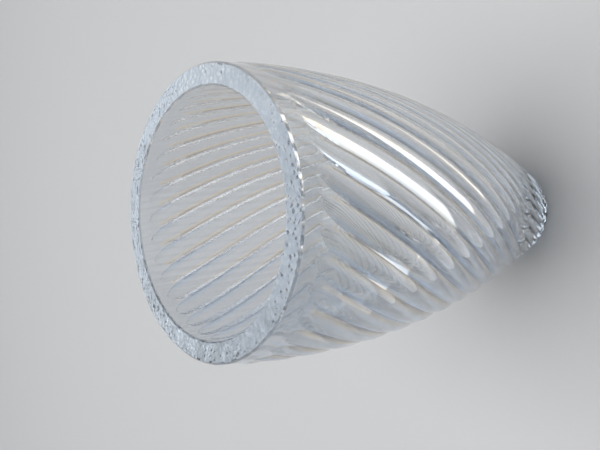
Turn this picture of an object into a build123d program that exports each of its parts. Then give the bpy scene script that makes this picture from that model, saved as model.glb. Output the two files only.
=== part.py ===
"""Cut crystal vase: an ovoid body of clear glass with spiral pillars, a plain band
under a flat ground lip, a thick solid bottom and a star cut into the underside.

The vase stands upright on its foot. Millimetres and degrees, +Z up, with the origin
at the centre of the face that it rests on. It is blown and cut from one gather of
glass, so it is one solid.
"""

import os
from itertools import pairwise
from math import cos, degrees, radians, sin, tan

from build123d import *

# ---------------------------------------------------------------- driving sizes
HEIGHT = 203.0  # base to lip, an 8 inch vase
FOOT_RADIUS = 25.0  # over the pillars, at the base
BELLY_RADIUS = 53.1  # over the pillars, at the widest level
BELLY_HEIGHT = 158.0  # level of the widest part above the base

PILLARS = 36  # convex spiral ribs round the body
PILLAR_SLANT = 26.0  # angle between a pillar and the upright
PILLAR_EDGE_SLOPE = 40.0  # how steeply a pillar's face dives into the valley beside it
BODY_STATIONS = 13  # cross-sections that the pillars are ruled between
TURN_SUM_STEPS = 200  # small rises that the twist is added up over

BAND_HEIGHT = 7.0  # plain band from the lip down to the tips of the pillars
BAND_SETBACK = 0.5  # band surface inside the pillars' crests
TIP_ROUNDING = 6.0  # length over which a crest rolls over into its tip
TIP_OVERRUN = 1.2  # how far the rolled crest is carried on inside the band
TIP_STATIONS = 3
VALLEY_RUN_IN = 11.0  # from the tips to where the band has narrowed to a valley line
TONGUE_STATIONS = 2

LIP_WALL = 7.6  # width of the flat lip ring
LIP_BEVEL = 0.6  # on both edges of the lip
BELLY_WALL = 9.0  # glass between the cavity and the crests at the widest level
FLOOR_THICKNESS = 28.0  # solid glass under the cavity
BOWL_RADIUS = 22.0  # half ball that rounds off the cavity below
WALL_STRETCHES = 5  # straight stretches that the curve of the cavity's wall is cut in

FOOT_BEVEL = 1.2  # between the pillars and the base
STAR_RAYS = 24
STAR_INNER_RADIUS = 4.0
STAR_OUTER_RADIUS = 21.0
STAR_DEPTH = 1.2
STAR_WHEEL_ANGLE = 100.0  # included angle of the mitre wheel that cuts the rays
STAR_OVERRUN = 0.1  # how far the cutting sliver reaches below the base

# ---------------------------------------------------------------- shape of the wall
PITCH = 360.0 / PILLARS
TIP_LEVEL = HEIGHT - BAND_HEIGHT
ROLL_LEVEL = TIP_LEVEL - TIP_ROUNDING
VALLEY_LEVEL = TIP_LEVEL - VALLEY_RUN_IN
BOWL_LEVEL = FLOOR_THICKNESS + BOWL_RADIUS
TAPER_FOOT = VALLEY_LEVEL - VALLEY_RUN_IN / 4  # safely inside the pillared body
TONGUE_STATION = TAPER_FOOT - BAND_SETBACK
FOOT_STATION = 2 * FOOT_BEVEL


def crest_radius(level):
    """Radius over the pillars: a quarter sine wave from the foot out to the belly,
    carried on past it so that the shoulder draws in again under the lip."""
    swell = sin(radians(90 * level / BELLY_HEIGHT))
    return FOOT_RADIUS + (BELLY_RADIUS - FOOT_RADIUS) * swell


def rolled_crest(level):
    """The same with the top of the pillar rolled over in a parabola, which crosses
    the band's surface at the tip level."""
    past = max(level - ROLL_LEVEL, 0.0) / TIP_ROUNDING
    return crest_radius(level) - BAND_SETBACK * past**2


def valley_radius(crest):
    """Radius at the bottom of a valley, where two arcs with the given edge slope meet
    half a pitch away from their crests."""
    half_pitch = radians(PITCH / 2)
    rise = sin(half_pitch) * tan(radians(PILLAR_EDGE_SLOPE / 2))
    return crest / (cos(half_pitch) + rise)


def band_radius(level):
    """Radius of the plain band. Below the tips it tapers inwards, and reaches the
    bottom of the valleys at the valley level."""
    depth = crest_radius(VALLEY_LEVEL) - valley_radius(crest_radius(VALLEY_LEVEL))
    below = max(TIP_LEVEL - level, 0.0) / VALLEY_RUN_IN
    return crest_radius(level) - BAND_SETBACK - (depth - BAND_SETBACK) * below


def turn_at(level):
    """Twist of the body at a level, in degrees. The pillars climb at a constant slant,
    so the angles that they go round over many small rises are added up."""
    rise = level / TURN_SUM_STEPS
    sideways = rise * tan(radians(PILLAR_SLANT))
    middles = [rise * (n + 0.5) for n in range(TURN_SUM_STEPS)]
    return sum(degrees(sideways / crest_radius(middle)) for middle in middles)


def ring_of_pillars(level):
    """The arcs of all the pillars in one level cross-section."""
    crest = rolled_crest(level)
    valley = valley_radius(crest)
    half_turn = radians(PITCH / 2)
    station = Plane.XY.offset(level).rotated((0, 0, turn_at(level)))
    arc = Edge.make_three_point_arc(
        station.from_local_coords((valley * cos(half_turn), -valley * sin(half_turn))),
        station.from_local_coords((crest, 0)),
        station.from_local_coords((valley * cos(half_turn), valley * sin(half_turn))),
    )
    return [arc.rotate(Axis.Z, PITCH * n) for n in range(PILLARS)]


# Levels of the cross-sections: equal steps up the body, and short ones at the foot's
# corner, along the tongues of the band and at the rolled tips.
step = (TONGUE_STATION - FOOT_STATION) / BODY_STATIONS
levels = [0.0] + [FOOT_STATION + step * n for n in range(BODY_STATIONS)]
step = (ROLL_LEVEL - TONGUE_STATION) / TONGUE_STATIONS
levels += [TONGUE_STATION + step * n for n in range(TONGUE_STATIONS)]
step = TIP_ROUNDING * TIP_OVERRUN / TIP_STATIONS
levels += [ROLL_LEVEL + step * n for n in range(TIP_STATIONS + 1)]

# ---------------------------------------------------------------- pillared body
# A ruled surface joins each arc to the same pillar's arc in the next cross-section,
# so the valleys climb round the body as sharp spiral lines.
rings = [ring_of_pillars(level) for level in levels]
pillar_faces = [
    Face.make_surface_from_curves(lower_arc, upper_arc)
    for lower, upper in pairwise(rings)
    for lower_arc, upper_arc in zip(lower, upper)
]
ends = [Face(Wire(rings[0])), Face(Wire(rings[-1]))]
pillared_body = Solid(Shell(pillar_faces + ends))

# ---------------------------------------------------------------- star ray
# One ray of the star is what a V-edged wheel leaves when it is sunk into the flat
# base: a groove pointed at both ends and deepest in the middle. Only the sliver of
# the wheel that enters the glass is kept.
ray_length = STAR_OUTER_RADIUS - STAR_INNER_RADIUS
wheel_radius = (ray_length**2 / 4 + STAR_DEPTH**2) / (2 * STAR_DEPTH)
edge_depth = 2 * STAR_DEPTH
edge_half_width = edge_depth * tan(radians(STAR_WHEEL_ANGLE / 2))
with BuildPart() as star_ray:
    with BuildSketch(Plane.XY):
        with BuildLine():
            Polyline(
                (wheel_radius - edge_depth, -edge_half_width),
                (wheel_radius, 0),
                (wheel_radius - edge_depth, edge_half_width),
                close=True,
            )
        make_face()
    revolve(axis=Axis.Y)
    wheel_in_base = Plane.XY.offset(wheel_radius - STAR_DEPTH - STAR_OVERRUN)
    split(bisect_by=wheel_in_base, keep=Keep.TOP)

# ---------------------------------------------------------------- vase
with BuildPart() as vase:
    add(pillared_body)

    # Plain band: the pillar tips stand out of it, and below them it tapers inwards,
    # so that it runs down between the pillars in tongues that end in the valleys.
    with BuildSketch(Plane.XZ):
        with BuildLine():
            Polyline(
                (band_radius(HEIGHT), HEIGHT),
                (band_radius(TIP_LEVEL), TIP_LEVEL),
                (band_radius(TAPER_FOOT), TAPER_FOOT),
                (0, TAPER_FOOT),
                (0, HEIGHT),
                close=True,
            )
        make_face()
    revolve(axis=Axis.Z)

    # Cavity: a blown hollow whose wall swells with the body, with a rounded floor.
    with BuildSketch(Plane.XZ):
        with BuildLine():
            wall = ThreePointArc(
                (band_radius(HEIGHT) - LIP_WALL, HEIGHT),
                (crest_radius(BELLY_HEIGHT) - BELLY_WALL, BELLY_HEIGHT),
                (BOWL_RADIUS, BOWL_LEVEL),
                mode=Mode.PRIVATE,
            )
            stretches = Polyline([wall @ (n / WALL_STRETCHES) for n in range(WALL_STRETCHES + 1)])
            bowl = CenterArc((0, BOWL_LEVEL), BOWL_RADIUS, 0, -90)
            Polyline(bowl @ 1, (0, HEIGHT), stretches @ 0)
        make_face()
    revolve(axis=Axis.Z, mode=Mode.SUBTRACT)

    # Lip: ground flat, with a small bevel on each edge.
    lip = faces().sort_by(Axis.Z)[-1]
    chamfer(lip.edges(), LIP_BEVEL)

    # Foot: the corner between the pillars and the base is bevelled all round.
    with BuildSketch(Plane.XZ):
        with BuildLine():
            Polyline(
                (FOOT_RADIUS - FOOT_BEVEL, 0),
                (FOOT_RADIUS + FOOT_BEVEL, 2 * FOOT_BEVEL),
                (FOOT_RADIUS + FOOT_BEVEL, 0),
                close=True,
            )
        make_face()
    revolve(axis=Axis.Z, mode=Mode.SUBTRACT)

    # Star: rays cut into the underside, inside the ring that the vase rests on.
    ray_middle = (STAR_INNER_RADIUS + STAR_OUTER_RADIUS) / 2
    with Locations((0, 0, STAR_DEPTH - wheel_radius)):
        with PolarLocations(ray_middle, STAR_RAYS):
            add(star_ray.part, mode=Mode.SUBTRACT)

vase.part.label = "vase"

os.makedirs("parts", exist_ok=True)
export_step(vase.part, "parts/vase.step")
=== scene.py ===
# %% [markdown]
# # A cut crystal vase
# The vase is one piece of clear glass: a spiral of rounded pillars round the body, a
# plain band under the ground lip, a thick solid bottom and a star cut underneath.
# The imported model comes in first, and it fixes where everything is. The height and the
# width across the belly are read from its box, so the finished surface can't drift
# away from the solid.

import bmesh
import bpy
import numpy as np
from mathutils import Euler, Matrix, Vector


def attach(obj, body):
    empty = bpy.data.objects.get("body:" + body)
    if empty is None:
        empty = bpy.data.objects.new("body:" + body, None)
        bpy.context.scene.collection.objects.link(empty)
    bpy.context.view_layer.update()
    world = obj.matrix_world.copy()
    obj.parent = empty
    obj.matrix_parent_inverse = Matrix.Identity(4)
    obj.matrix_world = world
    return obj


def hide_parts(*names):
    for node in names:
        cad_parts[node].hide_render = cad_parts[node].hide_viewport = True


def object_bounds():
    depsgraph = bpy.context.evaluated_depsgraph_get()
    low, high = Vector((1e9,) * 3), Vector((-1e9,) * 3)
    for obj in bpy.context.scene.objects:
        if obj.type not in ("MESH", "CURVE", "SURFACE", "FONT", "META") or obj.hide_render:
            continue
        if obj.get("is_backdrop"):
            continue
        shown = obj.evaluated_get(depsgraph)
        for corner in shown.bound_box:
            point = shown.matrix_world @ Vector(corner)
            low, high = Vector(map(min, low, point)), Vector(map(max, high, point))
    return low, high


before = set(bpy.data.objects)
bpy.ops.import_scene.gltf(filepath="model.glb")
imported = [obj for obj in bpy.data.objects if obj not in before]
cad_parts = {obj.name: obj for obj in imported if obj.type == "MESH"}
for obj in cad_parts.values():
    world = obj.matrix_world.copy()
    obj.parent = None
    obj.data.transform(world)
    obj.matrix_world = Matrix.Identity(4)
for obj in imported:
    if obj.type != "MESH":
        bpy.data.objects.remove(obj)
solid_box = [list(corner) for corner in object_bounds()]

MM = 0.001
HEIGHT = solid_box[1][2]
BELLY_RADIUS = solid_box[1][0]
print(f"solid: {HEIGHT / MM:.1f} mm tall, {2 * BELLY_RADIUS / MM:.1f} mm across the belly")

# %% [markdown]
# ## Driving sizes
# These are the sizes that the solid was made from. Blender works in metres, so each is
# a number of millimetres times MM. Everything else is worked out from them.

# %% Driving sizes
FOOT_RADIUS = 25.0 * MM
BELLY_HEIGHT = 158.0 * MM
PILLARS = 36
PILLAR_SLANT = np.radians(26.0)
PILLAR_EDGE_SLOPE = np.radians(40.0)
BAND_HEIGHT = 7.0 * MM
BAND_SETBACK = 0.5 * MM
TIP_ROUNDING = 6.0 * MM
VALLEY_RUN_IN = 11.0 * MM
LIP_WALL = 7.6 * MM
LIP_BEVEL = 0.6 * MM
BELLY_WALL = 9.0 * MM
FLOOR_THICKNESS = 28.0 * MM
BOWL_RADIUS = 22.0 * MM
FOOT_BEVEL = 1.2 * MM
STAR_RAYS = 24
STAR_INNER_RADIUS = 4.0 * MM
STAR_OUTER_RADIUS = 21.0 * MM
STAR_DEPTH = 1.2 * MM
STAR_WHEEL_ANGLE = np.radians(100.0)

HALF_PITCH = np.pi / PILLARS
TIP_LEVEL = HEIGHT - BAND_HEIGHT
ROLL_LEVEL = TIP_LEVEL - TIP_ROUNDING
VALLEY_LEVEL = TIP_LEVEL - VALLEY_RUN_IN
BOWL_LEVEL = FLOOR_THICKNESS + BOWL_RADIUS
print(f"{PILLARS} pillars, tips at {TIP_LEVEL / MM:.0f} mm, valleys start at {VALLEY_LEVEL / MM:.0f} mm")

# %% [markdown]
# ## One closed skin
# Light goes through glass, so its surface has to be one closed skin: outside, over the
# lip, down the inside, and across the bottom. We could join separate meshes with
# booleans, but their seams show up as bright cracks in refraction. Instead the whole
# vase is one grid. Each row is a ring of points round the axis, and the rows run from
# the middle of the base, up the outside, over the lip and down to the middle of the
# cavity's floor.
#
# Every ring has the same number of points. Half a pillar takes SPLIT columns on its
# valley side and the rest on its crest side. By moving the place where the two
# groups meet, a column edge can follow the curved outline of a pillar's tip exactly.

# %% Columns
SPLIT = 3
HALF_COLUMNS = 8
COLUMNS = 2 * HALF_COLUMNS * PILLARS
EVEN_EDGE = SPLIT / HALF_COLUMNS


def half_cell(edge):
    """Places of the columns in half a cell, from 0 to 1: SPLIT equal steps from 0 to
    the given edge and equal steps from there to 1. One row of places per edge."""
    edge = np.atleast_1d(edge)[:, None]
    low = edge * np.arange(SPLIT) / SPLIT
    high = edge + (1 - edge) * np.arange(HALF_COLUMNS - SPLIT) / (HALF_COLUMNS - SPLIT)
    return np.hstack([low, high])


def whole_ring(edge, cells):
    """Angles round the whole ring. Each cell is a half cell and its mirror image, so
    the edge lies at the same distance on both sides of the cell's border."""
    near = half_cell(edge)
    far = 2 - np.hstack([np.ones((len(near), 1)), near[:, :0:-1]])
    places = np.hstack([near, far])
    starts = 2 * np.arange(cells)
    return (starts[None, :, None] + places[:, None, :]).reshape(len(near), -1) * np.pi / cells


even_step = np.degrees(whole_ring(EVEN_EDGE, PILLARS)[0, 1])
print(f"{COLUMNS} columns; an even ring steps {even_step:.3f} degrees")

# %% [markdown]
# ## The outside
# The outline swells like a quarter of a sine wave from the foot to the belly, and the
# same wave carried on past its top draws the shoulder in. A pillar's cross-section is
# an arc of a circle. It is wider than it is deep, so neighbouring arcs meet in a
# sharp valley. The pillars climb at a constant slant, so they turn faster where the
# body is narrow.


# %% Outline and pillars
TURN_SUM_STEPS = 4000


def crest_radius(level):
    """Radius over the pillars: a quarter sine wave from foot to belly, carried on."""
    return FOOT_RADIUS + (BELLY_RADIUS - FOOT_RADIUS) * np.sin(np.pi / 2 * level / BELLY_HEIGHT)


def rolled_crest(level):
    """The same, with the top of the pillar rolled over in a parabola that crosses the
    band's surface at the tip level."""
    past = np.maximum(level - ROLL_LEVEL, 0) / TIP_ROUNDING
    return crest_radius(level) - BAND_SETBACK * past**2


def valley_radius(crest):
    """Radius at the bottom of a valley, where two arcs with the given edge slope meet
    half a pitch away from their crests."""
    return crest / (np.cos(HALF_PITCH) + np.sin(HALF_PITCH) * np.tan(PILLAR_EDGE_SLOPE / 2))


def band_radius(level):
    """Radius of the plain band. Below the tips it tapers inwards, and reaches the
    bottom of the valleys at the valley level."""
    depth = crest_radius(VALLEY_LEVEL) - valley_radius(crest_radius(VALLEY_LEVEL))
    below = np.maximum(TIP_LEVEL - level, 0) / VALLEY_RUN_IN
    return crest_radius(level) - BAND_SETBACK - (depth - BAND_SETBACK) * below


def arc_of_pillar(level):
    """Circle that a pillar's cross-section is an arc of: how far its centre is from
    the axis, and its radius. It goes through the crest and both valleys."""
    crest = rolled_crest(level)
    valley = valley_radius(crest)
    centre = (crest**2 - valley**2) / (2 * (crest - valley * np.cos(HALF_PITCH)))
    return centre, crest - centre


def turn_at(levels):
    """Angle that a valley has gone round by at each level: the sum of small rises
    times the tangent of the slant, divided by the radius."""
    fine = np.linspace(0, HEIGHT, TURN_SUM_STEPS + 1)
    rate = np.tan(PILLAR_SLANT) / crest_radius(fine)
    steps = (rate[1:] + rate[:-1]) / 2 * np.diff(fine)
    return np.interp(levels, fine, np.concatenate([[0], np.cumsum(steps)]))


print(f"a pillar turns {np.degrees(turn_at(HEIGHT)):.0f} degrees from foot to lip")

# %% [markdown]
# ## Pillar tips
# On the real vase the wheel leaves the band between two pillars as a pointed tongue,
# and each pillar ends above it in a rounded tip. We could cut one shape from the
# other, but that leaves a ragged edge. The edge between the two is where the pillar's
# arc and the band's circle have the same radius. Solving the triangle between the
# axis, the centre of the arc and that point gives its angle, and the column edge is
# put there, so the outline of the tip is a clean line of mesh edges.


# %% Edge of the tips
GATHER_LENGTH = 25.0 * MM


def tip_edge(level):
    """Share of half a pitch that the band takes up: none in the valleys, all of it
    above the tips. In between, the law of cosines gives the angle at which the arc
    and the band meet. Away from the tips the columns spread out evenly again."""
    centre, radius = arc_of_pillar(level)
    band = band_radius(level)
    cosine = (band**2 + centre**2 - radius**2) / (2 * band * centre)
    meeting = 1 - np.arccos(np.clip(cosine, np.cos(HALF_PITCH), 1)) / HALF_PITCH
    below = np.clip((VALLEY_LEVEL - level) / GATHER_LENGTH, 0, 1) * EVEN_EDGE
    above = 1 - np.clip((level - TIP_LEVEL) / BAND_HEIGHT, 0, 1) * (1 - EVEN_EDGE)
    return np.where(level <= VALLEY_LEVEL, below, np.where(level >= TIP_LEVEL, above, meeting))


half_way = (VALLEY_LEVEL + TIP_LEVEL) / 2
print(f"half way up the tips, the band takes {tip_edge(np.array([half_way]))[0]:.0%} of the ring")

# %% [markdown]
# ## Rings and marks
# A ring is a list of points round the axis. Besides its place, each point carries two
# marks that the material reads later. One says how far across a pillar it is, and
# the other says whether the glass there was left rough from the grinding wheel. A mark
# kept in the mesh stays on its pillar, which a pattern in space can't do.


# %% Rings of the outside
def rings(angle, radius, level, flank=0.0, ground=0.0):
    """Rings of points as one array: angle, radius, level and the two marks. Each
    part is repeated until it is as large as the angles."""
    return np.stack([np.broadcast_to(part, angle.shape) for part in (angle, radius, level, flank, ground)])


def outside_rings(levels):
    """The outer surface's rings. The radius is the pillar's arc or the band,
    whichever stands further out. The flank mark runs from -1 at one valley to 1 at
    the next, and the ground mark is 1 on the column edge at the left of each tip."""
    angle = whole_ring(tip_edge(levels), PILLARS)
    from_crest = (angle % (2 * HALF_PITCH)) - HALF_PITCH
    centre, radius = (part[:, None] for part in arc_of_pillar(levels))
    pillar = centre * np.cos(from_crest) + np.sqrt(radius**2 - (centre * np.sin(from_crest)) ** 2)
    banded = levels[:, None] > VALLEY_LEVEL
    reach = np.where(banded, np.maximum(pillar, band_radius(levels)[:, None]), pillar)
    turned = angle - HALF_PITCH + turn_at(levels)[:, None]
    ribbed = levels[:, None] < TIP_LEVEL
    flank = np.where(ribbed & (reach == pillar), from_crest / HALF_PITCH, 0)
    left_column = np.arange(COLUMNS) % (2 * HALF_COLUMNS) == SPLIT
    ground = np.where(left_column & banded & ribbed, 1.0, 0.0)
    return rings(turned, reach, levels[:, None], flank, ground)


belly_ring = outside_rings(np.array([BELLY_HEIGHT]))
print(f"a ring holds {belly_ring.shape[0]} numbers for each of its {belly_ring.shape[2]} points")

# %% [markdown]
# ## Where the rows stand
# Rows cost triangles, so they go where the shape changes. They stand close together
# towards each pillar's tip, where its outline turns fast, and far apart on the band.

# %% Outside
BODY_ROWS = 64
TIP_ROWS = 26
BAND_ROWS = 4
FIRST_LEVEL = 3.0 * MM
body_levels = np.linspace(FIRST_LEVEL, VALLEY_LEVEL, BODY_ROWS)
tip_levels = VALLEY_LEVEL + VALLEY_RUN_IN * np.sin(np.linspace(0, np.pi / 2, TIP_ROWS + 1)[1:])
band_levels = np.linspace(TIP_LEVEL, HEIGHT - LIP_BEVEL, BAND_ROWS + 1)[1:]
outside = outside_rings(np.concatenate([body_levels, tip_levels, band_levels]))
print(f"outside: {len(outside[0])} rings, {outside[1].max() / MM:.1f} mm at the most")

# %% [markdown]
# ## Foot
# The foot's edge is ground to a narrow bevel, so that it doesn't chip, and the wheel's
# grain stays in it. The bevel is a cone. It cuts the pillars off in a scalloped line,
# and that line is where the cone's radius has grown to the pillar's. A Bevel modifier
# can't follow that, so the two rings are worked out.

# %% Foot bevel
FOOT_GRAIN = 0.8
even_angle = whole_ring(EVEN_EDGE, PILLARS)[0] - HALF_PITCH
foot_reach = outside_rings(np.array([0.0]))[1, 0]
foot_level = foot_reach - (FOOT_RADIUS - FOOT_BEVEL)
foot = rings(
    np.vstack([even_angle, even_angle + turn_at(foot_level)]),
    np.vstack([np.full(COLUMNS, FOOT_RADIUS - FOOT_BEVEL), foot_reach]),
    np.vstack([np.zeros(COLUMNS), foot_level]),
    ground=FOOT_GRAIN,
)
print(f"bevel meets the pillars {foot_level.min() / MM:.2f} to {foot_level.max() / MM:.2f} mm up")

# %% [markdown]
# ## Lip
# The lip is ground flat and only half polished, with a narrow bevel on both of its
# edges. Flat rings are enough for it, because the bevels are the straight steps from
# the band to the lip and from the lip to the cavity.


# %% Lip
def round_rings(radii, levels, turn, ground=0.0):
    """Plain circles: the same radius and level all the way round, turned as a whole
    so that their columns join on to the ring before them, with one ground mark."""
    angle = np.broadcast_to(even_angle + turn, (len(radii), COLUMNS))
    return rings(angle, np.array(radii)[:, None], np.array(levels)[:, None], ground=ground)


LIP_GRAIN = 1.0
lip_turn = turn_at(HEIGHT)
lip_outer = band_radius(HEIGHT)
lip_inner = lip_outer - LIP_WALL
lip = round_rings([lip_outer - LIP_BEVEL, lip_inner + LIP_BEVEL], [HEIGHT, HEIGHT], lip_turn, LIP_GRAIN)
print(f"lip: {2 * lip_outer / MM:.1f} mm outside, {2 * lip_inner / MM:.1f} mm inside")

# %% [markdown]
# ## The cavity
# A blown hollow has a smooth wall. It could be drawn as a curve and spun, but then its
# rings wouldn't match the others. Here it is one arc of a large circle through three
# radii that we know: at the lip, at the belly and where the half-ball floor starts.


# %% Cavity
def circle_through(a, b, c):
    """Centre and radius of the circle through three points (radius, level), from the
    two equations that say that the centre is equally far from a, b and c."""
    a, b, c = map(np.asarray, (a, b, c))
    rows = 2 * np.vstack([b - a, c - a])
    centre = np.linalg.solve(rows, [b @ b - a @ a, c @ c - a @ a])
    return centre, np.linalg.norm(a - centre)


WALL_ROWS = 30
BOWL_ROWS = 14
wall_centre, wall_arc = circle_through(
    (lip_inner, HEIGHT),
    (crest_radius(BELLY_HEIGHT) - BELLY_WALL, BELLY_HEIGHT),
    (BOWL_RADIUS, BOWL_LEVEL),
)
wall_levels = np.linspace(HEIGHT - LIP_BEVEL, BOWL_LEVEL, WALL_ROWS)
wall_radii = wall_centre[0] + np.sqrt(wall_arc**2 - (wall_levels - wall_centre[1]) ** 2)
dip = np.linspace(0, np.pi / 2, BOWL_ROWS + 1)[1:]
cavity = round_rings(
    np.concatenate([wall_radii, BOWL_RADIUS * np.cos(dip)]),
    np.concatenate([wall_levels, BOWL_LEVEL - BOWL_RADIUS * np.sin(dip)]),
    lip_turn,
)
print(f"cavity: {wall_radii.max() * 2 / MM:.1f} mm across, floor {FLOOR_THICKNESS / MM:.0f} mm up")

# %% [markdown]
# ## The star underneath
# A V-edged wheel is sunk into the flat base once for each ray. Its rim is a circle, so
# the groove is deepest in the middle and runs out to a point at both ends. Across, it
# is a V whose width follows its depth. The columns bunch up at the groove's two edges
# in the same way as at the pillars' tips.

# %% Star cut
STAR_ROWS = 16

ray_length = STAR_OUTER_RADIUS - STAR_INNER_RADIUS
wheel_radius = (ray_length**2 / 4 + STAR_DEPTH**2) / (2 * STAR_DEPTH)


def groove_depth(radii):
    """Depth along the middle of a groove, which is how far the wheel's rim reaches
    into the glass: the square root of the wheel's radius squared less the distance
    from the ray's middle squared, less the height of the wheel's centre."""
    from_middle = radii - (STAR_INNER_RADIUS + STAR_OUTER_RADIUS) / 2
    return np.sqrt(wheel_radius**2 - from_middle**2) - (wheel_radius - STAR_DEPTH)


def star_rings(radii):
    """Rings across all the rays. Of the columns beside a ray's middle line, half lie
    in the groove and half on the flat glass between it and the next ray. A point's
    depth is that of the groove less its distance from the middle line divided by the
    tangent of half the wheel's angle, and never less than nothing."""
    columns_per_ray = COLUMNS // STAR_RAYS
    ray, column = np.divmod(np.arange(COLUMNS), columns_per_ray)
    place = column / columns_per_ray * 2
    aside = np.minimum(place, 2 - place)
    deepest = groove_depth(radii)[:, None]
    spread_of_v = np.tan(STAR_WHEEL_ANGLE / 2)
    edge = np.clip(deepest * spread_of_v / radii[:, None] / (np.pi / STAR_RAYS), 0, 1)
    bunched = np.where(aside < 0.5, 2 * aside * edge, edge + (2 * aside - 1) * (1 - edge))
    angle = (2 * ray + np.where(place <= 1, bunched, 2 - bunched)) * np.pi / STAR_RAYS
    across = radii[:, None] * bunched * np.pi / STAR_RAYS
    depth = np.maximum(deepest - across / spread_of_v, 0)
    return rings(angle, radii[:, None], depth)


spread = (1 - np.cos(np.linspace(0, np.pi, STAR_ROWS))) / 2
star = star_rings(STAR_INNER_RADIUS + ray_length * spread)
print(f"star: {STAR_RAYS} rays, {star[2].max() / MM:.2f} mm deep, wheel of {wheel_radius / MM:.0f} mm")

# %% [markdown]
# ## A mesh from a grid
# A grid of points becomes a mesh when each quad joins two neighbours in a ring to the
# two points above them. The same few lines make the vase and, later, the floor.


# %% Mesh from rings
def round_mesh(name, angle, radius, level):
    """A mesh through rings of points at radius times the cosine and sine of the
    angle, with quads between one ring and the next, closed all the way round."""
    points = np.stack([radius * np.cos(angle), radius * np.sin(angle), level], axis=-1)
    corner = np.arange(angle.size).reshape(angle.shape)
    beside = np.roll(corner, -1, axis=1)
    quads = np.stack([corner[:-1], beside[:-1], beside[1:], corner[1:]], axis=-1)
    mesh = bpy.data.meshes.new(name)
    mesh.from_pydata(points.reshape(-1, 3), [], quads.reshape(-1, 4).tolist())
    return mesh


base_pole = round_rings([0.0], [0.0], 0.0)
skin = np.concatenate([base_pole, star, foot, outside, lip, cavity], axis=1)
vase_mesh = round_mesh("crystal_vase", *skin[:3])
for mark, amounts in zip(("flank", "ground"), skin[3:]):
    vase_mesh.attributes.new(mark, "FLOAT", "POINT").data.foreach_set("value", amounts.ravel())
print(f"{skin.shape[1]} rings of {skin.shape[2]} points")

# %% [markdown]
# ## Closing the skin
# The first and last rings have no radius, so their points fall together at the poles.
# Merging points that coincide closes those poles and the places where a column edge
# starts or ends. After that the mesh must have no open edge, or the light inside the
# glass would leak out. The volume is a good check on the whole shape.

# %% Closed skin
MERGE_DISTANCE = 0.0005 * MM
SLIVER = 0.0002 * MM

merged = bmesh.new()
merged.from_mesh(vase_mesh)
bmesh.ops.remove_doubles(merged, verts=merged.verts, dist=MERGE_DISTANCE)
bmesh.ops.dissolve_degenerate(merged, edges=merged.edges, dist=SLIVER)
bmesh.ops.recalc_face_normals(merged, faces=merged.faces)
open_edges = sum(not edge.is_manifold for edge in merged.edges)
cubic_cm = merged.calc_volume(signed=True) / (10 * MM) ** 3
merged.to_mesh(vase_mesh)
merged.free()
triangles = sum(len(face.vertices) - 2 for face in vase_mesh.polygons)
print(f"{triangles} triangles, {open_edges} open edges, {cubic_cm:.0f} cubic cm")

# %% [markdown]
# ## Smooth faces, sharp cuts
# Smooth shading hides the flat faces, but a cut edge must stay crisp. Edges where the
# surface turns by more than the given angle are marked sharp: the valleys, the tips,
# the lip and the star. The piece then rides on the vase's body and stands for its solid.

# %% The vase
EDGE_ANGLE = np.radians(24)
crystal_vase = bpy.data.objects.new("crystal_vase", vase_mesh)
bpy.context.scene.collection.objects.link(crystal_vase)
vase_mesh.shade_smooth()
vase_mesh.set_sharp_from_angle(angle=EDGE_ANGLE)
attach(crystal_vase, "root")
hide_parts("vase")
print(f"{crystal_vase.name}: {crystal_vase.dimensions.z / MM:.1f} mm tall")

# %% [markdown]
# ## An uneven finish
# Nothing real is perfectly even. Glass that is handled has patches with fine scratches,
# and paper has soft mottling. Both are noise squeezed into a narrow range, so we
# build that once as a node group and give each material its own numbers.


# %% Node group for an uneven finish
FINISH_DETAIL = 5.0
FINISH_TOP = 0.8


def uneven_finish():
    """A group that turns noise on Object coordinates into a number between Least and
    Most. Noise below Start counts as Least, and noise above FINISH_TOP as Most."""
    group = bpy.data.node_groups.new("uneven finish", "ShaderNodeTree")
    group.interface.new_socket("Vector", in_out="INPUT", socket_type="NodeSocketVector")
    for name in ("Scale", "Start", "Least", "Most"):
        group.interface.new_socket(name, in_out="INPUT", socket_type="NodeSocketFloat")
    group.interface.new_socket("Amount", in_out="OUTPUT", socket_type="NodeSocketFloat")
    given, result = group.nodes.new("NodeGroupInput"), group.nodes.new("NodeGroupOutput")
    noise, squeeze = group.nodes.new("ShaderNodeTexNoise"), group.nodes.new("ShaderNodeMapRange")
    noise.inputs["Detail"].default_value = FINISH_DETAIL
    squeeze.inputs["From Max"].default_value = FINISH_TOP
    group.links.new(given.outputs["Vector"], noise.inputs["Vector"])
    group.links.new(given.outputs["Scale"], noise.inputs["Scale"])
    group.links.new(noise.outputs["Fac"], squeeze.inputs["Value"])
    group.links.new(given.outputs["Start"], squeeze.inputs["From Min"])
    group.links.new(given.outputs["Least"], squeeze.inputs["To Min"])
    group.links.new(given.outputs["Most"], squeeze.inputs["To Max"])
    group.links.new(squeeze.outputs["Result"], result.inputs["Amount"])
    return group


UNEVEN = uneven_finish()
print(f"node group {UNEVEN.name!r} with {len(UNEVEN.nodes)} nodes")

# %% [markdown]
# ## Small helpers for nodes
# Every material starts in the same way, and every node has sockets to fill in. Three
# helpers keep the cells below short, so that what they say is about glass and paper.


# %% Helpers for materials
def fresh_material(name):
    """A material with its node tree, its Principled shader and its Object coordinates."""
    material = bpy.data.materials.new(name)
    material.use_nodes = True
    tree = material.node_tree
    coordinates = tree.nodes.new("ShaderNodeTexCoord").outputs["Object"]
    return material, tree, tree.nodes["Principled BSDF"], coordinates


def node(tree, kind, **settings):
    """A new node of the given kind, with its input sockets set by name."""
    made = tree.nodes.new(kind)
    for socket, amount in settings.items():
        made.inputs[socket.replace("_", " ")].default_value = amount
    return made


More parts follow.
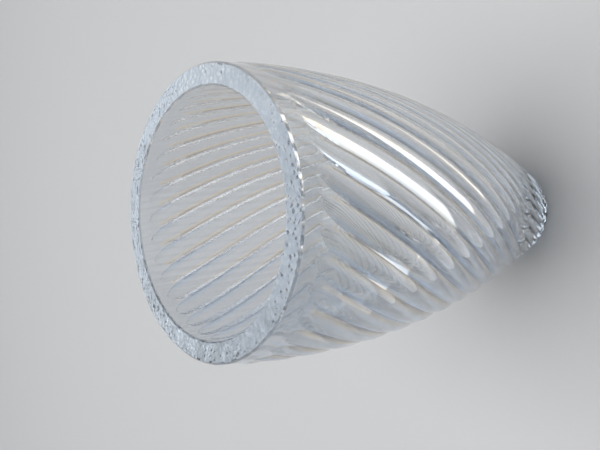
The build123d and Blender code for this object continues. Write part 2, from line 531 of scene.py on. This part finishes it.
def uneven(tree, coordinates, scale, start, least, most):
    """One use of the uneven finish group, ready to link."""
    made = tree.nodes.new("ShaderNodeGroup")
    made.node_tree = UNEVEN
    for socket, amount in (("Scale", scale), ("Start", start), ("Least", least), ("Most", most)):
        made.inputs[socket].default_value = amount
    tree.links.new(coordinates, made.inputs["Vector"])
    return made.outputs["Amount"]


def marked(tree, name):
    """The value of one of the marks that the mesh carries."""
    reader = tree.nodes.new("ShaderNodeAttribute")
    reader.attribute_name = name
    return reader.outputs["Fac"]


print("helpers: fresh_material, node, uneven, marked")

# %% [markdown]
# ## Crystal
# Lead crystal bends light more than window glass does, so its index of refraction is
# higher. A Principled shader with full transmission makes it clear, and the numbers
# that are the same everywhere go straight into its sockets. Where the glass has been
# handled, fine scratches take a little off the polish.

# %% Clear crystal
GLASS_INDEX = 1.56

crystal, tree, shader, coordinates = fresh_material("crystal")
shader.inputs["Transmission Weight"].default_value = 1.0
shader.inputs["Metallic"].default_value = 0.0
shader.inputs["IOR"].default_value = GLASS_INDEX
scratches = uneven(tree, coordinates, scale=35.0, start=0.5, least=0.0, most=0.02)
tree.links.new(scratches, shader.inputs["Roughness"])
vase_mesh.materials.append(crystal)
print(f"crystal bends light with an index of {GLASS_INDEX}")

# %% [markdown]
# ## Painted prism colours and valley shade
# Cut crystal splits light into colours where it bends it most, on the steep flanks of
# the pillars, and looks darkest right in the valleys. The shader bends all colours
# alike, so it can't do that. Instead a colour ramp reads the flank mark and paints it
# into the glass's colour: painted prism colours, cool on one side of a pillar and warm
# on the other, painted shade near black right in the valleys, and clear over its crest.

# %% Painted prism colours and valley shade
CLEAR = (0.74, 0.765, 0.79, 1)
# Painted light across a pillar: painted shade at both valley ends, painted prism colours beside them, clear
# over the crest.
PAINTED_PRISM_AND_SHADE_STOPS = [
    (0.0, (0.14, 0.17, 0.22, 1)),
    (0.06, (0.30, 0.38, 0.52, 1)),
    (0.14, (0.52, 0.71, 0.98, 1)),
    (0.28, CLEAR),
    (0.72, CLEAR),
    (0.86, (1.0, 0.80, 0.54, 1)),
    (0.94, (0.50, 0.40, 0.30, 1)),
    (1.0, (0.20, 0.17, 0.15, 1)),
]

from_valley = node(tree, "ShaderNodeMapRange", From_Min=-1.0)
# This ramp paints the prism colours and the valley shade into the glass's colour.
painted_prism_and_shade = tree.nodes.new("ShaderNodeValToRGB")
for place, colour in PAINTED_PRISM_AND_SHADE_STOPS[1:-1]:
    painted_prism_and_shade.color_ramp.elements.new(place).color = colour
painted_prism_and_shade.color_ramp.elements[0].color = PAINTED_PRISM_AND_SHADE_STOPS[0][1]
painted_prism_and_shade.color_ramp.elements[-1].color = PAINTED_PRISM_AND_SHADE_STOPS[-1][1]
tree.links.new(marked(tree, "flank"), from_valley.inputs["Value"])
tree.links.new(from_valley.outputs["Result"], painted_prism_and_shade.inputs["Fac"])
print(f"prism colours in {len(painted_prism_and_shade.color_ramp.elements)} stops")

# %% [markdown]
# ## Ground glass and painted pit shade
# On the lip, round the foot and down one side of each tip, the wheel's grain was never
# fully polished out, and it sparkles. It is a pattern of small cells, weighed by the
# ground mark. The cells tilt the surface through a Bump node, and a darker bluish tint
# goes with them as painted shade in fine pits. GRAIN_CELLS counts the cells in a metre.

# %% Wheel grain and painted pit shade
GRAIN_CELLS = 600.0
# Painted shade in the pits: how much of it goes in, and its darker bluish colour.
PIT_SHADE_SHARE = 1.6
PAINTED_PIT_SHADE = (0.40, 0.47, 0.56, 1)

cells = node(tree, "ShaderNodeTexVoronoi", Scale=GRAIN_CELLS)
grain_and_pit_shade = tree.nodes.new("ShaderNodeMath")
grain_and_pit_shade.operation = "MULTIPLY"
pit_shade = tree.nodes.new("ShaderNodeMath")
pit_shade.operation = "MULTIPLY"
pit_shade.inputs[1].default_value = PIT_SHADE_SHARE
# The darker bluish tint is painted shade, mixed in where the grain is.
pit_shade_mix = node(tree, "ShaderNodeMixRGB", Color2=PAINTED_PIT_SHADE)
tree.links.new(coordinates, cells.inputs["Vector"])
tree.links.new(cells.outputs["Distance"], grain_and_pit_shade.inputs[0])
tree.links.new(marked(tree, "ground"), grain_and_pit_shade.inputs[1])
tree.links.new(grain_and_pit_shade.outputs["Value"], pit_shade.inputs[0])
tree.links.new(pit_shade.outputs["Value"], pit_shade_mix.inputs["Fac"])
tree.links.new(painted_prism_and_shade.outputs["Color"], pit_shade_mix.inputs["Color1"])
tree.links.new(pit_shade_mix.outputs["Color"], shader.inputs["Base Color"])
print(f"grain cells about {1 / (GRAIN_CELLS * MM):.1f} mm across")

# %% [markdown]
# ## Polished glass
# A polishing wheel never leaves glass perfectly flat, and its long soft ripples make
# straight reflections waver. Wide, faint noise goes into one Bump node, and its
# normal goes on into a second one that adds the grain.

# %% Ripples and grain together
RIPPLE_SCALE = 60.0
RIPPLE_STRENGTH = 0.25
RIPPLE_DEPTH = 0.15 * MM
GRAIN_STRENGTH = 0.9
GRAIN_DEPTH = 0.2 * MM

ripples = node(tree, "ShaderNodeTexNoise", Scale=RIPPLE_SCALE, Detail=1.0)
soft_bump = node(tree, "ShaderNodeBump", Strength=RIPPLE_STRENGTH, Distance=RIPPLE_DEPTH)
hard_bump = node(tree, "ShaderNodeBump", Strength=GRAIN_STRENGTH, Distance=GRAIN_DEPTH)
tree.links.new(coordinates, ripples.inputs["Vector"])
tree.links.new(ripples.outputs["Fac"], soft_bump.inputs["Height"])
tree.links.new(grain_and_pit_shade.outputs["Value"], hard_bump.inputs["Height"])
tree.links.new(soft_bump.outputs["Normal"], hard_bump.inputs["Normal"])
tree.links.new(hard_bump.outputs["Normal"], shader.inputs["Normal"])
print(f"crystal has {len(tree.nodes)} nodes")

# %% [markdown]
# ## Floor
# The floor is a sheet of pale paper that bends up into a round wall, so there is no
# line where they meet. Glass shows whatever is round it, and a wall all the way round
# looks the same from every side. It is a profile of radii and levels, spun by the same
# function as the vase.

# %% Floor and backdrop
COVE_RADIUS = 1.6
COVE_BEND = 0.5
COVE_HEIGHT = 0.9
FLAT_RADII = [0.0, 0.4, 0.8]
COVE_COLUMNS = 96
COVE_BEND_ROWS = 13

bend = np.linspace(0, np.pi / 2, COVE_BEND_ROWS)
cove_radii = np.concatenate([FLAT_RADII, COVE_RADIUS - COVE_BEND * (1 - np.sin(bend)), [COVE_RADIUS]])
cove_levels = np.concatenate([np.zeros(len(FLAT_RADII)), COVE_BEND * (1 - np.cos(bend)), [COVE_HEIGHT]])
round_about = np.linspace(0, 2 * np.pi, COVE_COLUMNS, endpoint=False)
cove = rings(np.tile(round_about, (len(cove_radii), 1)), cove_radii[:, None], cove_levels[:, None])
floor_mesh = round_mesh("floor", *cove[:3])
floor_mesh.shade_smooth()
floor = bpy.data.objects.new("floor", floor_mesh)
bpy.context.scene.collection.objects.link(floor)
floor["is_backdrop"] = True
print(f"floor {2 * COVE_RADIUS:.1f} m across with a wall {COVE_HEIGHT:.1f} m high")

# %% [markdown]
# ## Paper
# Matt paper is pale and nearly even. The uneven finish group gives it a soft change in
# roughness, with its own numbers.

# %% Floor paper
PAPER_COLOUR = (0.62, 0.625, 0.635, 1)

paper, tree, shader, coordinates = fresh_material("floor paper")
shader.inputs["Base Color"].default_value = PAPER_COLOUR
mottling = uneven(tree, coordinates, scale=9.0, start=0.2, least=0.8, most=0.95)
tree.links.new(mottling, shader.inputs["Roughness"])
floor_mesh.materials.append(paper)
print(f"paper has {len(tree.nodes)} nodes")

# %% [markdown]
# ## Lamps
# Clear glass has no colour of its own, so lamps are there to be reflected. Area lamps
# give reflections with a shape. Their power is worked out from how bright the lamp's
# face should look, so a lamp can change size and its reflection stays as bright. The
# lamps for the glass light nothing else, through light linking, and the camera doesn't
# see them.


# %% Soft lamps
LAMP_AIM = Vector((0.0, 0.0, 0.11))
NEUTRAL = (1.0, 1.0, 1.0)
SKY_BLUE = (0.82, 0.91, 1.0)
glass_only = bpy.data.collections.new("lit by glass lamps")
glass_only.objects.link(crystal_vase)


def soft_lamp(name, place, size, brightness, colour=NEUTRAL, facing=None, lights=glass_only):
    """An area lamp. Its power is brightness times area times pi. It shines at the
    middle of the vase, unless it is told how it is turned."""
    lamp = bpy.data.lights.new(name, "AREA")
    lamp.shape = "RECTANGLE"
    lamp.size, lamp.size_y = size
    lamp.energy = brightness * size[0] * size[1] * np.pi
    lamp.color = colour
    holder = bpy.data.objects.new(name, lamp)
    bpy.context.scene.collection.objects.link(holder)
    holder.location = place
    holder.rotation_mode = "QUATERNION"
    holder.rotation_quaternion = facing or (LAMP_AIM - Vector(place)).to_track_quat("-Z", "Y")
    holder.visible_camera = False
    holder.light_linking.receiver_collection = lights
    print(f"{name}: {lamp.energy:.2f} W")


soft_lamp("overhead", place=(0.0, 0.1, 2.0), size=(1.5, 1.5), brightness=5.6, lights=None)
soft_lamp("back softbox", place=(-0.05, 0.64, 0.68), size=(0.66, 0.5), brightness=4.2, colour=SKY_BLUE)
soft_lamp("right softbox", place=(0.8, -0.2, 0.35), size=(0.2, 0.7), brightness=1.5)
soft_lamp("left softbox", place=(-0.8, -0.3, 0.45), size=(0.1, 0.7), brightness=3.0)

# %% [markdown]
# ## Light from below
# The pillars curve under towards the foot, so from above they reflect the table, and
# the broad sheen on them comes from something bright that lies there. Two panels just
# over the floor give it. A small one adds a little over the part of a wide one that is
# nearest the foot, so the sheen fades away from there. Inside the glass their light is
# reflected almost whole, so they stay dim, or the pillars would go flat white. Both
# lie beside the foot, never under it.

# %% Low panels
PANEL_TURN = np.radians(8)
FACING_UP = Euler((np.pi, 0, PANEL_TURN)).to_quaternion()

soft_lamp("low panel", place=(0.135, -0.12, 0.003), size=(0.34, 0.15), brightness=0.15, facing=FACING_UP)
soft_lamp("wide low panel", place=(0.17, -0.168, 0.002), size=(0.52, 0.25), brightness=0.9, facing=FACING_UP)
print(f"both panels turned {np.degrees(PANEL_TURN):.0f} degrees")

# %% [markdown]
# ## World
# The world is the light from everywhere else. It is nearly black, so that glass has
# something dark to show at its edges. Without that, clear glass on pale paper is
# hard to see.

# %% World
DIM_ROOM = (0.03, 0.032, 0.035, 1)

world = bpy.data.worlds.new("studio")
bpy.context.scene.world = world
world.use_nodes = True
world.node_tree.nodes["Background"].inputs["Color"].default_value = DIM_ROOM
world.node_tree.nodes["Background"].inputs["Strength"].default_value = 1.0
print(f"world brightness {max(DIM_ROOM[:3])}")

# %% [markdown]
# ## Camera
# The camera looks steeply down past the mouth, rolled on its side, so that the vase
# lies across the view with its mouth to the left. Its axes come from two
# directions: where it looks and which way is up. Cross products give the third, and
# the last turn about the vase's axis sets where the pillars meet the lip.

# %% Camera
CAMERA_PLACE = np.array([0.0, -0.1684, 0.3151])
CAMERA_SIGHT = np.array([-0.0196, 0.7308, -0.6823])
CAMERA_UP = np.array([0.9998, 0.0094, -0.0187])
CAMERA_ROUND = np.radians(4.66)
LENS_LENGTH = 36
SENSOR_WIDTH = 36
CLOSEST_VIEW = 10 * MM

backwards = -CAMERA_SIGHT / np.linalg.norm(CAMERA_SIGHT)
sideways = np.cross(CAMERA_UP, backwards)
sideways /= np.linalg.norm(sideways)
standing = np.eye(4)
standing[:3] = np.stack([sideways, np.cross(backwards, sideways), backwards, CAMERA_PLACE], axis=1)
lens = bpy.data.cameras.new("camera")
lens.lens = LENS_LENGTH
lens.sensor_width = SENSOR_WIDTH
lens.clip_start = CLOSEST_VIEW
camera = bpy.data.objects.new("camera", lens)
bpy.context.scene.collection.objects.link(camera)
camera.matrix_world = Matrix.Rotation(CAMERA_ROUND, 4, "Z") @ Matrix(standing.tolist())
bpy.context.scene.camera = camera
print(f"camera {camera.matrix_world.translation.length:.3f} m from the foot")

# %% [markdown]
# ## Colours and bounces
# The Standard view shows colours as they are written. Light bounces many times inside
# thick cut glass, and a path that is stopped early turns black, so the limits on
# bounces are raised.

# %% Colours and bounces
GLASS_BOUNCES = 32

bpy.context.scene.view_settings.view_transform = "Standard"
cycles = bpy.context.scene.cycles
cycles.max_bounces = cycles.transmission_bounces = cycles.glossy_bounces = GLASS_BOUNCES
print(f"up to {GLASS_BOUNCES} bounces")

finished_box = [list(corner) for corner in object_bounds()]
for name, box in (("solid", solid_box), ("finished", finished_box)):
    print(name, "box in mm:", [[round(side / MM, 2) for side in corner] for corner in box])
